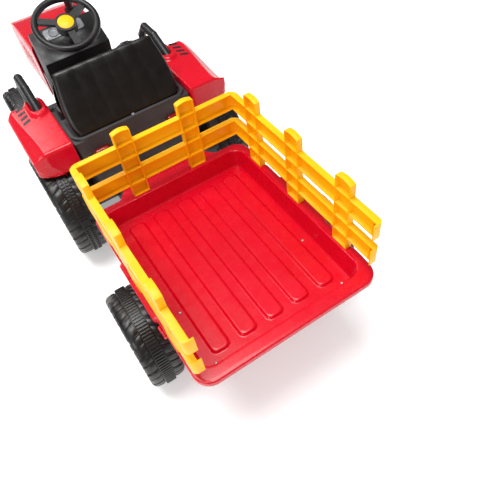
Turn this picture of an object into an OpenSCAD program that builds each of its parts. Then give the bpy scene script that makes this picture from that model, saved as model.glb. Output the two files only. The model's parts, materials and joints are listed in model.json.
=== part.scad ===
// Child's ride-on farm tractor with a fenced tray trailer.
// +Z is up, -Y is the tractor's front, +X is the driver's left.
// The origin is on the floor, in the middle of the whole train.

/* [Rear wheels] */
// Radius of the tractor's rear wheels
rear_r = 140; // [132:1:142]
// Width of the rear wheels
rear_w = 84; // [76:1:84]
// Distance from the middle plane to the middle of a rear wheel
rear_x = 208; // [206:1:214]

/* [Front wheels] */
// Radius of the tractor's front wheels
front_r = 100; // [90:1:102]
// Width of the front wheels
front_w = 64; // [56:1:66]
// Distance from the middle plane to the middle of a front wheel
front_x = 190; // [188:1:194]
// Distance between the tractor's axles
wheelbase = 470; // [465:1:480]

/* [Trailer wheels] */
// Radius of the trailer's wheels
trailer_r = 112; // [104:1:112]
// Width of the trailer's wheels
trailer_w = 72; // [64:1:72]
// Distance from the middle plane to the middle of a trailer wheel
trailer_x = 221; // [221:1:230]

/* [Tray] */
// Width of the tray over its rim
tray_w = 388; // [384:2:392]
// Length of the tray over its rim
tray_l = 490; // [486:2:494]
// Depth of the tray inside
tray_d = 41; // [36:1:44]
// Height of the tray's rim above the floor
rim_z = 247; // [247:1:250]
// Thickness of the moulded walls
wall = 3.5; // [3:0.5:4]
// Number of pressed ribs in the tray's floor
rib_count = 5; // [3:2:5]

/* [Fence] */
// Height of the fence posts above the rim
post_h = 174; // [170:1:180]
// Width of the side posts
post_w = 41; // [36:1:44]
// Depth of the fence's hollow section
fence_d = 13.5; // [12:0.5:15]
// Thickness of the fence's webs and flanges
fence_t = 2.5; // [2:0.5:3]

/* [Axles] */
// Radius of the steel axle rods
rod_r = 6; // [5:0.5:6]
// Radial running clearance of a wheel on its rod
run_gap = 0.05; // [0.02:0.01:0.08]

/* [Steering] */
// Lean of the steering shaft from the vertical, in degrees
shaft_lean = 24; // [22:1:26]
// Radius of the steering wheel's rim
wheel_ring = 78; // [70:1:84]
// Length of the arm on each steering knuckle
arm_l = 44; // [44:1:46]
// Radius of the crank at the foot of the steering shaft
crank_l = 23; // [22:1:24]

/* [Hidden] */
$fn = 64;

red = "crimson";
yellow = "orange";
black = "#26262a";
steel = "silver";
lens = "lightyellow";

eps = 0.01;
gap = 0.5;                           // assembly gap between neighbouring mouldings

rear_y = -5;                         // rear axle
front_y = rear_y - wheelbase;        // front axle
tray_rear_y = 680;
tray_front_y = tray_rear_y - tray_l;
trailer_y = tray_rear_y - 240;       // trailer axle

deck_half = 148;                     // half width of the black rear deck
fender_in = 150;                     // inner side of a fender
fender_out = 240;                    // outer side of a fender
lip_z = 327;                         // top of the deck's raised lip
lip_y = 47;                          // rear edge of that lip
fender_z = 338;                      // top of a fender
plate_z = 106;                       // top of the footplates

pin_y = 105;                         // hitch pin
pin_z = 162;                         // middle of the drawbar's eye
pin_r = 5;

king_x = 130;                        // kingpins of the front wheels
tie_y = front_y + arm_l;
tie_z = 72;                          // underside of the tie rod
link_pin_r = 4;
link_rise = 9;                       // from the tie rod's middle up to the crank
shaft_foot = [0, tie_y + link_rise * sin(shaft_lean) - crank_l * cos(shaft_lean),
    tie_z + 3 + link_rise * cos(shaft_lean) + crank_l * sin(shaft_lean)];
shaft_r = 7;
shaft_len = 346;                     // from the shaft's foot to the steering wheel's hub
cowl_y = -399;                       // front of the dashboard
cowl_z = 374;                        // its highest edge
cowl_rear_y = -300;
// distance along the shaft to the dashboard's top, which is square to it
cowl_at = (cowl_y - shaft_foot[1]) * sin(shaft_lean) + (cowl_z - shaft_foot[2]) * cos(shaft_lean);

// ---- flat shapes -------------------------------------------------------------

// A rectangle with round corners, centred
module rounded_rect(w, l, r) {
    square([w - 2 * r, l], center = true);
    square([w, l - 2 * r], center = true);
    for (sx = [-1, 1], sy = [-1, 1])
        translate([sx * (w / 2 - r), sy * (l / 2 - r)]) circle(r);
}

// A slot with round ends along Y, centred
module slot2d(w, l) {
    square([w, l - w], center = true);
    for (s = [-1, 1]) translate([0, s * (l - w) / 2]) circle(w / 2);
}

// A side profile in Y and Z, spread along X between x0 and x1
module across(x0, x1) {
    translate([x0, 0, 0]) rotate([90, 0, 90]) linear_extrude(x1 - x0) children();
}

// A front profile in X and Z, spread along Y between y0 and y1
module along(y0, y1) {
    translate([0, y1, 0]) rotate([90, 0, 0]) linear_extrude(y1 - y0) children();
}

// A box from its low corner to its high corner
module block(low, high) {
    translate(low) cube(high - low);
}

// Both sides of the vehicle
module both_sides() {
    children();
    mirror([1, 0, 0]) children();
}

// The right-hand copy of a left-hand part
module right_hand() {
    mirror([1, 0, 0]) children();
}

// A rod between two points
module rod(a, b, r) {
    d = b - a;
    translate(a) rotate([0, acos(d[2] / norm(d)), atan2(d[1], d[0])])
        cylinder(r = r, h = norm(d));
}

// A bent tube: straight rods with a slightly fuller ball in each bend
module bent_tube(points, r) {
    for (i = [0 : len(points) - 2]) rod(points[i], points[i + 1], r);
    for (i = [1 : len(points) - 2]) translate(points[i]) sphere(r + 0.4);
}

// ---- wheels ------------------------------------------------------------------

band_half = 13;                      // half width of a tread's middle band
hub_r = 20;                          // hub boss
dish_f = 0.62;                       // dish radius over wheel radius
dish_d = 17;                         // dish depth
skin = 4;                            // wall of the hollow wheels
hub_back = 4;                        // how far the boss stands out behind

// Half section of a hollow moulded wheel: x is the radius, y runs to the outer side
module wheel_section(r, w) {
    h = w / 2;
    difference() {
        union() {
            difference() {
                polygon([[0, -h + 6], [r * dish_f, -h + 2], [r - 16, -h], [r - 5, -h + 9],
                    [r - 3, -band_half], [r, -band_half], [r, band_half], [r - 3, band_half],
                    [r - 5, h - 9], [r - 16, h], [r * dish_f + 6, h],
                    [r * dish_f, h - dish_d], [0, h - dish_d]]);
                polygon([[hub_r, -h + 6 + skin], [r - 18, -h + skin + 1],
                    [r - 5 - skin, -h + 12], [r - 5 - skin, h - 12], [r - 18, h - skin],
                    [r * dish_f + 6 + skin, h - skin], [r * dish_f + skin, h - dish_d - skin],
                    [hub_r, h - dish_d - skin]]);
                translate([hub_r, -h]) square([skin, h]);
            }
            translate([0, -h - hub_back]) square([hub_r, w - dish_d + hub_back - 2]);
        }
        translate([-1, -w]) square([1 + rod_r + run_gap, 2 * w]);
    }
}

// A left-hand wheel on its axle
module wheel(r, w, x, y) {
    translate([x, y, r]) rotate([0, 90, 0]) rotate_extrude($fn = 96) wheel_section(r, w);
}

// A left-hand domed cap in the wheel's dish
module hub_cap(r, w, x, y) {
    cap_r = r * dish_f - 1;
    rise = 13;
    translate([x + w / 2 - dish_d + gap, y, r]) rotate([0, 90, 0])
        rotate_extrude($fn = 96) difference() {
            polygon([[0, 0], [cap_r, 0], [cap_r, 5], [cap_r - 7, rise], [cap_r * 0.55, rise + 1],
                [cap_r * 0.45, rise + 3], [0, rise + 4]]);
            polygon([[-1, -1], [cap_r - 3, -1], [cap_r - 3, 4], [cap_r - 9, rise - 3],
                [cap_r * 0.5, rise - 2], [-1, rise]]);
        }
}

// A left-hand lock nut and washer on a rod's end, inside the wheel's dish
module lock_nut(r, w, x, y) {
    translate([x + w / 2 - dish_d + 0.3, y, r]) rotate([0, 90, 0]) difference() {
        union() {
            cylinder(r = 11, h = 1.5);
            cylinder(r = 8.5, h = 7.5, $fn = 6);
        }
        translate([0, 0, -1]) cylinder(r = rod_r, h = 10);
    }
}

// An axle rod through both wheels
module axle_rod(r, w, x, y) {
    end = x + w / 2 - dish_d + 9;
    rod([-end, y, r], [end, y, r], rod_r);
}

module rear_wheel_left() { color(black) wheel(rear_r, rear_w, rear_x, rear_y); }
module rear_wheel_right() { right_hand() rear_wheel_left(); }
module front_wheel_left() { color(black) wheel(front_r, front_w, front_x, front_y); }
module front_wheel_right() { right_hand() front_wheel_left(); }
module trailer_wheel_left() { color(black) wheel(trailer_r, trailer_w, trailer_x, trailer_y); }
module trailer_wheel_right() { right_hand() trailer_wheel_left(); }

module rear_hub_cap_left() { color(yellow) hub_cap(rear_r, rear_w, rear_x, rear_y); }
module rear_hub_cap_right() { right_hand() rear_hub_cap_left(); }
module front_hub_cap_left() { color(yellow) hub_cap(front_r, front_w, front_x, front_y); }
module front_hub_cap_right() { right_hand() front_hub_cap_left(); }
module trailer_hub_cap_left() {
    color(yellow) hub_cap(trailer_r, trailer_w, trailer_x, trailer_y);
}
module trailer_hub_cap_right() { right_hand() trailer_hub_cap_left(); }

module front_nut_left() { color(steel) lock_nut(front_r, front_w, front_x, front_y); }
module front_nut_right() { right_hand() front_nut_left(); }
module rear_axle_nuts() {
    color(steel) both_sides() lock_nut(rear_r, rear_w, rear_x, rear_y);
}
module trailer_axle_nuts() {
    color(steel) both_sides() lock_nut(trailer_r, trailer_w, trailer_x, trailer_y);
}
module rear_axle() { color(steel) axle_rod(rear_r, rear_w, rear_x, rear_y); }
module trailer_axle() { color(steel) axle_rod(trailer_r, trailer_w, trailer_x, trailer_y); }

// ---- tractor body ------------------------------------------------------------

front_half = 80;                     // half width of the chassis in front
rear_half = 95;                      // half width of the chassis behind
front_floor = 112;                   // underside of the chassis in front
rear_floor = 84;                     // underside of the chassis behind
front_top = 186;
rear_top = 200;
chassis_front_y = -625;
waist_y = -150;                      // where the chassis widens
chassis_rear_y = 55;

// The black tub that everything hangs on, open on top
module chassis() {
    t = wall + 0.5;
    color(black) difference() {
        union() {
            block([-front_half, chassis_front_y, front_floor],
                [front_half, waist_y + eps, front_top]);
            block([-rear_half, waist_y, rear_floor], [rear_half, chassis_rear_y, rear_top]);
        }
        block([-front_half + t, chassis_front_y + t, front_floor + t],
            [front_half - t, waist_y + 2 * t, front_top + 1]);
        block([-rear_half + t, waist_y + t, rear_floor + t],
            [rear_half - t, chassis_rear_y - t, rear_top + 1]);
        rod([-rear_half - 1, rear_y, rear_r], [rear_half + 1, rear_y, rear_r], rod_r + gap);
        // the steering shaft's passage through the floor
        shaft_hole_y = shaft_foot[1] + (front_floor - shaft_foot[2]) * tan(shaft_lean);
        translate([0, shaft_hole_y, front_floor - 1]) cylinder(r = 14, h = t + 2);
    }
}

// A left footplate with a raised edge and tread bars
module footplate_left() {
    x0 = front_half + gap;
    x1 = 236;
    y0 = -335;
    y1 = -160;
    t = 6;
    bars = 7;
    cx = (x0 + x1) / 2;
    cy = (y0 + y1) / 2;
    color(black) union() {
        translate([cx, cy, plate_z - t])
            linear_extrude(t) rounded_rect(x1 - x0, y1 - y0, 14);
        translate([cx, cy, plate_z - t]) linear_extrude(t + 7) difference() {
            rounded_rect(x1 - x0, y1 - y0, 14);
            rounded_rect(x1 - x0 - 10, y1 - y0 - 10, 10);
        }
        for (i = [0 : bars - 1])
            block([x0 + 16, y0 + 24 + i * 20, plate_z - eps],
                [x1 - 16, y0 + 32 + i * 20, plate_z + 2]);
        // inner web bolted to the tub
        block([x0, y0 + 14, plate_z - eps], [x0 + 6, y1 - 14, plate_z + 46]);
    }
}

// The right footplate also carries the pedal's lugs and the lever's stub
module footplate_right() {
    footplate_colour = black;
    color(footplate_colour) difference() {
        union() {
            right_hand() footplate_left();
            for (s = [-1, 1]) translate([pedal_x + s * 19, 0, 0]) block(
                [-3, pedal_y - 6, plate_z - eps], [3, pedal_y + 6, pedal_z + 6]);
            rod([-front_half - 2, lever_y, lever_z], [lever_x - 7, lever_y, lever_z], stub_r);
        }
        rod([pedal_x - 30, pedal_y, pedal_z], [pedal_x + 30, pedal_y, pedal_z],
            pedal_rod_r + run_gap);
    }
}

module front_bumper() {
    color(black) union() {
        along(-680, -648) translate([0, 158]) rounded_rect(150, 50, 12);
        for (x = [-38, 38])
            block([x - 9, -649, 140], [x + 9, chassis_front_y - gap, 176]);
    }
}

hood_half = 98;
hood_front_y = -642;
hood_rear_y = -400;
hood_low = 187;
hood_high = 352;
nose_high = 322;

// Solid form of the hood, s smaller but open below and behind
module hood_form(s) {
    intersection() {
        across(-hood_half + s, hood_half - s)
            polygon([[hood_rear_y + s, hood_low - s], [hood_rear_y + s, hood_high - s],
                [hood_front_y + 70, nose_high + 12 - s], [hood_front_y + 26, nose_high - s],
                [hood_front_y + s, nose_high - 34 - s], [hood_front_y + s, hood_low - s]]);
        along(hood_front_y - 1, hood_rear_y + 1)
            translate([0, hood_high / 2 - 20 - s / 2])
                rounded_rect(2 * (hood_half - s), hood_high + 40 - s, 26 - s);
    }
}

grille_w = 132;
grille_h = 54;
grille_z = 221;
lamp_x = 52;
lamp_z = 272;

module hood() {
    color(red) difference() {
        hood_form(0);
        hood_form(wall);
        // grille opening
        along(hood_front_y - 1, hood_front_y + wall + 1)
            translate([0, grille_z]) rounded_rect(grille_w, grille_h, 8);
        // headlight openings
        for (x = [-lamp_x, lamp_x])
            rod([x, hood_front_y - 1, lamp_z], [x, hood_front_y + wall + 1, lamp_z], 18);
        // side air slots
        for (s = [-1, 1], i = [0 : 4])
            translate([s * hood_half, -560 + i * 24, 262]) rotate([0, 90, 0]) rotate(90)
                linear_extrude(4 * wall, center = true) slot2d(9, 52);
        // exhaust seat
        translate([-58, -480, hood_high - 40]) cylinder(r = 12.5, h = 80);
    }
}

module grille() {
    w = grille_w - 1;
    h = grille_h - 1;
    color(black) union() {
        along(hood_front_y - 4, hood_front_y + 2) translate([0, grille_z]) difference() {
            rounded_rect(w, h, 7.5);
            rounded_rect(w - 12, h - 12, 4);
        }
        for (i = [-2 : 2]) translate([0, 0, grille_z + i * 9.6])
            block([-w / 2 + 5, hood_front_y - 3, -2], [w / 2 - 5, hood_front_y + 1, 2]);
        for (x = [-22, 22])
            block([x - 2, hood_front_y - 2, grille_z - h / 2 + 3],
                [x + 2, hood_front_y + 1, grille_z + h / 2 - 3]);
    }
}

module headlight_bezels() {
    color(steel) for (x = [-lamp_x, lamp_x])
        translate([x, hood_front_y + 3, lamp_z]) rotate([90, 0, 0]) difference() {
            cylinder(r = 17.6, h = 11);
            translate([0, 0, 2]) cylinder(r = 15, h = 12);
        }
}

module headlight_lenses() {
    color(lens) for (x = [-lamp_x, lamp_x])
        translate([x, hood_front_y + 1, lamp_z]) rotate([90, 0, 0])
            rotate_extrude() intersection() {
                square([14.7, 12]);
                translate([0, -22]) circle(32);
            }
}

module exhaust_stack() {
    stack_r = 11;
    top = 462;
    color(black) translate([-58, -480, 0]) rotate_extrude() difference() {
        union() {
            translate([0, 330]) square([stack_r, top - 330]);
            translate([0, 352]) square([17, 10]);
            translate([0, 388]) square([17, 46]);
        }
        translate([-1, 342]) square([9, top]);
    }
}

// The black cowl between hood and driver
module dashboard() {
    half = 92;
    foot_y = -328;
    rear_z = cowl_z - (cowl_rear_y - cowl_y) * tan(shaft_lean);
    cowl = [[cowl_y, front_top + gap], [foot_y, front_top + gap], [cowl_rear_y, rear_z],
        [cowl_y, cowl_z]];
    inner = [[cowl_y + wall, front_top - 1], [foot_y - wall, front_top - 1],
        [cowl_rear_y - 1.2 * wall, rear_z - wall], [cowl_y + wall, cowl_z - 1.2 * wall]];
    color(black) difference() {
        intersection() {
            across(-half, half) polygon(cowl);
            along(-420, -290) translate([0, 184]) rounded_rect(2 * half, 400, 24);
        }
        intersection() {
            across(-half + wall, half - wall) polygon(inner);
            along(-420, -290)
                translate([0, 184 - wall]) rounded_rect(2 * (half - wall), 400, 24 - wall);
        }
        on_shaft() cylinder(r = 15, h = 400);
    }
}

// A raised plate with two round dials on the cowl's top
module gauge_panel() {
    color(steel) on_shaft() translate([0, -44, cowl_at + 0.2]) union() {
        linear_extrude(2) rounded_rect(110, 34, 8);
        for (x = [-30, 30]) translate([x, 0, 2 - eps]) difference() {
            cylinder(r = 14, h = 3);
            translate([0, 0, 1.2]) cylinder(r = 12, h = 3);
        }
    }
}

// ---- steering ----------------------------------------------------------------

// Puts its children on the steering shaft, with Z along it from the shaft's foot
module on_shaft() {
    translate(shaft_foot) rotate([-shaft_lean, 0, 0]) children();
}

module steering_bush() {
    color(black) on_shaft() translate([0, 0, cowl_at - 20]) difference() {
        union() {
            cylinder(r = 14.5, h = 21);
            translate([0, 0, 20.2]) cylinder(r = 20, h = 5);
        }
        translate([0, 0, -1]) cylinder(r = shaft_r + run_gap, h = 40);
    }
}

module steering_shaft() {
    color(steel) on_shaft() union() {
        cylinder(r = shaft_r, h = shaft_len - 14);
        // crank arm and its pin, pointing back
        translate([0, crank_l / 2, 3]) cube([12, crank_l, 6], center = true);
        translate([0, crank_l, 0]) cylinder(r = 6, h = 6);
        translate([0, crank_l, -15]) cylinder(r = link_pin_r, h = 15 + eps);
    }
}

module steering_wheel() {
    grip = 8.5;
    spokes = 3;
    color(black) on_shaft() translate([0, 0, shaft_len]) union() {
        rotate_extrude($fn = 96) translate([wheel_ring, 0]) circle(grip);
        difference() {
            translate([0, 0, -18]) cylinder(r = 27, h = 24);
            translate([0, 0, -19]) cylinder(r = shaft_r, h = 6);
            translate([0, 0, -8]) cylinder(r = 21.5, h = 20);
        }
        for (i = [0 : spokes - 1]) rotate(90 + i * 360 / spokes)
            translate([24, -9, -7]) cube([wheel_ring - 24, 18, 9]);
    }
}

module horn_button() {
    color(yellow) on_shaft() translate([0, 0, shaft_len]) rotate_extrude() union() {
        translate([0, -3]) square([20.5, 9]);
        intersection() {
            translate([0, 6 - eps]) square([20.5, 5]);
            translate([0, -42]) circle(52);
        }
    }
}

module front_axle_beam() {
    color(black) difference() {
        union() {
            block([-king_x, front_y - 11, front_r - 8], [king_x, front_y + 11, front_r + 8]);
            for (s = [-1, 1]) translate([s * king_x, front_y, front_r - 8])
                cylinder(r = 11, h = 16);
            block([-60, front_y - 12, front_r], [60, front_y + 12, front_floor - gap]);
        }
        for (s = [-1, 1]) translate([s * king_x, front_y, 0])
            cylinder(r = rod_r + run_gap, h = 200);
    }
}

// A left steering knuckle: fork, kingpin, stub axle and steering arm
module knuckle_left() {
    ear_gap = 8.6;
    ear = 7;
    back_x = king_x + 12;
    stub_end = front_x + front_w / 2 - dish_d + 9;
    color(steel) union() {
        for (s = [-1, 1]) translate([0, 0, front_r + s * (ear_gap + ear / 2)]) union() {
            translate([king_x, front_y, 0]) cylinder(r = 11, h = ear, center = true);
            translate([(king_x + back_x + 6) / 2, front_y, 0])
                cube([back_x + 6 - king_x, 22, ear], center = true);
        }
        block([back_x, front_y - 11, front_r - ear_gap - ear],
            [back_x + 6, front_y + 11, front_r + ear_gap + ear]);
        translate([king_x, front_y, front_r - ear_gap - ear - 2])
            cylinder(r = rod_r, h = 2 * (ear_gap + ear + 2));
        rod([back_x + 5, front_y, front_r], [stub_end, front_y, front_r], rod_r);
        block([king_x - 7, front_y, front_r - ear_gap - ear],
            [king_x + 7, tie_y, front_r - ear_gap]);
        translate([king_x, tie_y, front_r - ear_gap - ear]) cylinder(r = 7, h = ear);
        translate([king_x, tie_y, tie_z - 4])
            cylinder(r = link_pin_r, h = front_r - ear_gap - ear - tie_z + 5);
    }
}
module knuckle_right() { right_hand() knuckle_left(); }

// The flat track rod, with slots that take the arms' swing
module tie_rod() {
    t = 6;
    side_play = 0.9;
    color(black) translate([0, 0, tie_z]) linear_extrude(t) difference() {
        union() {
            translate([0, tie_y]) square([2 * king_x, 16], center = true);
            for (s = [-1, 1]) translate([s * king_x, tie_y - 1]) slot2d(24, 32);
            translate([0, tie_y - 3]) rounded_rect(30, 40, 8);
        }
        for (s = [-1, 1]) translate([s * king_x, tie_y - 1.5])
            slot2d(2 * (link_pin_r + side_play), 2 * link_pin_r + 5);
        translate([0, tie_y - 3]) slot2d(2 * (link_pin_r + side_play), 2 * link_pin_r + 15);
    }
}

// ---- drive, pedal and lever --------------------------------------------------

// A left motor gearbox between the tub and the wheel
module gearbox_left() {
    x0 = rear_half + gap;
    x1 = rear_x - rear_w / 2 - hub_back - 1;
    color(black) difference() {
        union() {
            across(x0, x1) translate([rear_y - 14, rear_r + 4]) rounded_rect(96, 84, 20);
            rod([x0, rear_y - 44, rear_r + 18], [x1 - 4, rear_y - 44, rear_r + 18], 22);
        }
        rod([0, rear_y, rear_r], [300, rear_y, rear_r], rod_r + gap);
    }
}
module gearbox_right() { right_hand() gearbox_left(); }

module battery() {
    color("dimgray") union() {
        block([-48, -142, rear_floor + wall + 1], [48, -72, rear_floor + 98]);
        for (x = [-28, 28])
            translate([x, -107, rear_floor + 98 - eps]) cylinder(r = 5, h = 7);
    }
}

pedal_x = -141;
pedal_y = -236;                      // the pedal's hinge, under the heel
pedal_z = plate_z + 12;
pedal_rod_r = 4;

// The foot pedal on the right footplate, hinged on a rod at its heel
module pedal() {
    rise = 26;
    color(black) union() {
        translate([pedal_x, pedal_y, pedal_z]) rotate([-rise, 0, 0]) union() {
            translate([0, -34, 2]) linear_extrude(5) rounded_rect(31, 72, 9);
            for (i = [0 : 3])
                translate([-12, -58 + i * 13, 7 - eps]) cube([24, 6, 2]);
        }
        rod([pedal_x - 22, pedal_y, pedal_z], [pedal_x + 22, pedal_y, pedal_z], pedal_rod_r);
    }
}

lever_x = -112;
lever_y = -290;
lever_z = 138;
stub_r = 5;

// The forward and reverse lever beside the tub
module shift_lever() {
    lean = -12;
    height = 118;
    color(black) union() {
        difference() {
            rod([lever_x - 6, lever_y, lever_z], [lever_x + 6, lever_y, lever_z], 11);
            rod([lever_x - 7, lever_y, lever_z], [lever_x + 7, lever_y, lever_z],
                stub_r + run_gap);
        }
        rod([lever_x, lever_y + lean * 9 / height, lever_z + 9],
            [lever_x, lever_y + lean, lever_z + height], 4.5);
        translate([lever_x, lever_y + lean - 1, lever_z + height + 8]) sphere(13);
    }
}

// ---- seat and rear deck ------------------------------------------------------

// Side profile of the deck, s inside its skin
function deck_profile(s) = [[-235 + s, 201 - (s > 0 ? 2 : 0)], [-235 + s, 240 - s],
    [-60 + s, 240 - s], [-60 + s, 321 - s], [lip_y - s, 321 - s], [66 - s, 232],
    [66 - s, 201 - (s > 0 ? 2 : 0)]];

// The black deck behind and under the seat, with its raised lip
module rear_deck() {
    corner = 30;
    hump_y = (lip_y - 60) / 2;
    hump_l = lip_y + 60;
    lamp_z = 284;
    color(black) difference() {
        union() {
            difference() {
                intersection() {
                    across(-deck_half, deck_half) polygon(deck_profile(0));
                    translate([0, 66 - 200, 0])
                        linear_extrude(400) rounded_rect(2 * deck_half, 400, corner);
                }
                intersection() {
                    across(-deck_half + wall, deck_half - wall) polygon(deck_profile(wall));
                    translate([0, 66 - 200 - wall, 0]) linear_extrude(400)
                        rounded_rect(2 * (deck_half - wall), 400, corner - wall);
                }
            }
            // lip round the hump's top
            translate([0, hump_y, 321 - eps]) linear_extrude(lip_z - 321) difference() {
                rounded_rect(2 * deck_half - 6, hump_l, corner);
                rounded_rect(2 * deck_half - 22, hump_l - 16, corner - 8);
                translate([0, -hump_l / 2]) square([2 * deck_half, 40], center = true);
            }
            // tail wall down to the hitch
            block([-90, 60, 182], [90, 66, 203]);
        }
        // tail lamp windows
        for (s = [-1, 1]) translate([s * 95, 50, lamp_z]) rotate([90, 0, 0])
            linear_extrude(60, center = true) rounded_rect(40, 16, 7.9);
        // seat screw
        translate([-4, lip_y - 6, 300]) cylinder(r = 2.5, h = 40);
    }
}

module tail_lamps() {
    lamp_z = 284;
    color("darkred") for (s = [-1, 1]) translate([s * 95, 54, lamp_z]) rotate([80, 0, 0])
        linear_extrude(10, center = true) rounded_rect(38.5, 14, 6.9);
}

// The moulded seat: pan, back and the skirt behind the back
module seat() {
    half = 128;
    back_z = 446;
    profile = [[-233, 240.5], [-233, 258], [-222, 264], [-96, 262], [-74, 278], [-52, back_z - 6],
        [-44, back_z], [-36, back_z - 6], [35, 327], [35, 321.5], [-60.5, 321.5],
        [-60.5, 240.5]];
    color(black) difference() {
        intersection() {
            across(-half, half) polygon(profile);
            along(-250, 60) translate([0, 246]) rounded_rect(2 * half, 400, 34);
            translate([0, 35 - 150, 0]) linear_extrude(500) rounded_rect(2 * half, 300, 26);
        }
        translate([-4, lip_y - 6, 300]) cylinder(r = 4, h = 60);
    }
}

module seat_screw() {
    color(steel) translate([-4, lip_y - 6, lip_z]) union() {
        cylinder(r = 4, h = 2);
        translate([0, 0, -18]) cylinder(r = 2.4, h = 18 + eps);
    }
}

// ---- fenders -----------------------------------------------------------------

arch_r = rear_r + 10;
slot_x = 174;                        // middle of the fender's raised lobe

function fender_profile(s) = [[62 - s, 276], [58 - s, fender_z - 6 - s],
    [50 - s, fender_z - s], [-150 + s / 2, fender_z - s], [-196 + s, 300], [-208 + s, 240],
    [-208 + s, 200], [-160, 200]];

// A left fender: a thin shell over the wheel with a raised lobe for the grab bar
module fender_left() {
    lobe = 8;
    color(red) difference() {
        union() {
            difference() {
                across(fender_in, fender_out) difference() {
                    polygon(concat(fender_profile(0), [[0, 200]]));
                    translate([rear_y, rear_r]) circle(arch_r, $fn = 128);
                }
                across(fender_in + wall, fender_out - wall)
                    polygon(concat([for (p = fender_profile(wall)) p], [[-100, 100], [80, 100],
                        [62 - wall, 270]]));
            }
            // lobe and the walls of its pocket
            translate([slot_x, -96, 318]) linear_extrude(fender_z + lobe - 318)
                slot2d(44, 184);
        }
        // outer panel tilts down to the side
        translate([214, -300, fender_z]) rotate([0, 36, 0]) cube([80, 500, 60]);
        // pocket for the bar, open to the front
        translate([slot_x, -142, 322]) linear_extrude(60) slot2d(30, 124);
    }
}
module fender_right() { right_hand() fender_left(); }

// A left grab bar from the fender's pocket to the footplate
module grab_bar_left() {
    bar_r = 10.5;
    color(black) bent_tube([[slot_x, -96, 335], [slot_x, -172, 366], [slot_x, -226, 366],
        [slot_x, -262, 330], [slot_x, -290, plate_z + 4]], bar_r);
}
module grab_bar_right() { right_hand() grab_bar_left(); }

// ---- hitch and trailer -------------------------------------------------------

module hitch_bracket() {
    color("dimgray") difference() {
        union() {
            block([-35, chassis_rear_y + gap, 130], [35, chassis_rear_y + 5, 178]);
            for (z = [pin_z - 12, pin_z + 7]) translate([0, 0, z]) linear_extrude(5) union() {
                translate([0, (chassis_rear_y + pin_y) / 2 + 1])
                    square([44, pin_y - chassis_rear_y - 2], center = true);
                translate([0, pin_y]) circle(22);
            }
        }
        translate([0, pin_y, 100]) cylinder(r = pin_r + run_gap, h = 120);
    }
}

module hitch_pin() {
    color(steel) translate([0, pin_y, 0]) union() {
        translate([0, 0, pin_z - 26]) cylinder(r = pin_r, h = 52);
        translate([0, 0, pin_z + 12 + gap]) cylinder(r = 10, h = 5);
        rod([-16, 0, pin_z - 19], [16, 0, pin_z - 19], 1.6);
    }
}

drawbar_r = 10;
drawbar_end = 520;

module drawbar() {
    color("dimgray") difference() {
        union() {
            rod([0, pin_y + 14, pin_z], [0, drawbar_end, pin_z], drawbar_r);
            translate([0, pin_y, pin_z - 6]) cylinder(r = 17, h = 12);
        }
        translate([0, pin_y, 0]) cylinder(r = pin_r + run_gap, h = 300);
        // flats that pass between the bracket's ears
        for (s = [-1, 1]) translate([0, pin_y, pin_z + s * (6 + 10)])
            cube([60, 64, 20], center = true);
    }
}

frame_top = rim_z - tray_d - wall - gap;

// Cross members and axle brackets under the tray
module trailer_frame() {
    bracket_x = 150;
    color("dimgray") difference() {
        union() {
            for (y = [tray_front_y + 60, trailer_y]) block([-bracket_x, y - 14, pin_z + 4],
                [bracket_x, y + 14, frame_top]);
            for (s = [-1, 1]) {
                block([s * 118 - 12, tray_front_y + 60, frame_top - 16],
                    [s * 118 + 12, trailer_y + 120, frame_top]);
                translate([s * (bracket_x - 3), 0, 0]) across(-3, 3) union() {
                    translate([trailer_y, trailer_r]) circle(18);
                    polygon([[trailer_y - 18, trailer_r], [trailer_y + 18, trailer_r],
                        [trailer_y + 34, frame_top], [trailer_y - 34, frame_top]]);
                }
            }
        }
        rod([-200, trailer_y, trailer_r], [200, trailer_y, trailer_r], rod_r + gap);
        rod([0, tray_front_y, pin_z], [0, drawbar_end + 1, pin_z], drawbar_r);
    }
}

module axle_spacers() {
    x0 = 150 + gap;
    x1 = trailer_x - trailer_w / 2 - hub_back - gap;
    color(steel) both_sides() difference() {
        rod([x0, trailer_y, trailer_r], [x1, trailer_y, trailer_r], 9);
        rod([x0 - 1, trailer_y, trailer_r], [x1 + 1, trailer_y, trailer_r], rod_r);
    }
}

flange = 20;                         // width of the tray's flange
rear_flange = 29;
draft = 11;                          // how much the walls lean in
lip_drop = 11;
tray_mid = (tray_front_y + tray_rear_y) / 2;

// The tray's inner hollow, grown by s
module tray_hollow(s) {
    w = tray_w - 2 * flange;
    y0 = tray_front_y + flange;
    y1 = tray_rear_y - rear_flange;
    l = y1 - y0;
    hull() {
        translate([0, (y0 + y1) / 2, rim_z + (s > 0 ? -wall : 1)])
            linear_extrude(wall - eps, $fn = 32) rounded_rect(w + 2 * s, l + 2 * s, 24 + s);
        translate([0, (y0 + y1) / 2, rim_z - tray_d - s])
            linear_extrude(wall - eps, $fn = 32)
                rounded_rect(w - 2 * draft + 2 * s, l - 2 * draft + 2 * s, 14 + s);
    }
}

guard = [352, 516];                  // where the rim is wider, over the wheels
guard_w = 6;

// Outline of the tray's rim with its nose in front and its wheel guards, shrunk by s
module rim_outline(s) {
    x = tray_w / 2 - s;
    for (side = [-1, 1]) scale([side, 1]) polygon([[x - 1, guard[0] + s], [x, guard[0] + s],
        [x + guard_w, guard[0] + 9 + s], [x + guard_w, guard[1] - 9 - s], [x, guard[1] - s],
        [x - 1, guard[1] - s]]);
    nose_w = 200;
    nose_l = 24;
    translate([0, tray_mid]) rounded_rect(tray_w - 2 * s, tray_l - 2 * s, 34 - s);
    translate([0, tray_front_y]) polygon([[-nose_w / 2 - 26 + s, s], [-nose_w / 2 + s, -nose_l + s],
        [nose_w / 2 - s, -nose_l + s], [nose_w / 2 + 26 - s, s]]);
}

rib_pitch = 60;
rib_w = 41;

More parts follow.
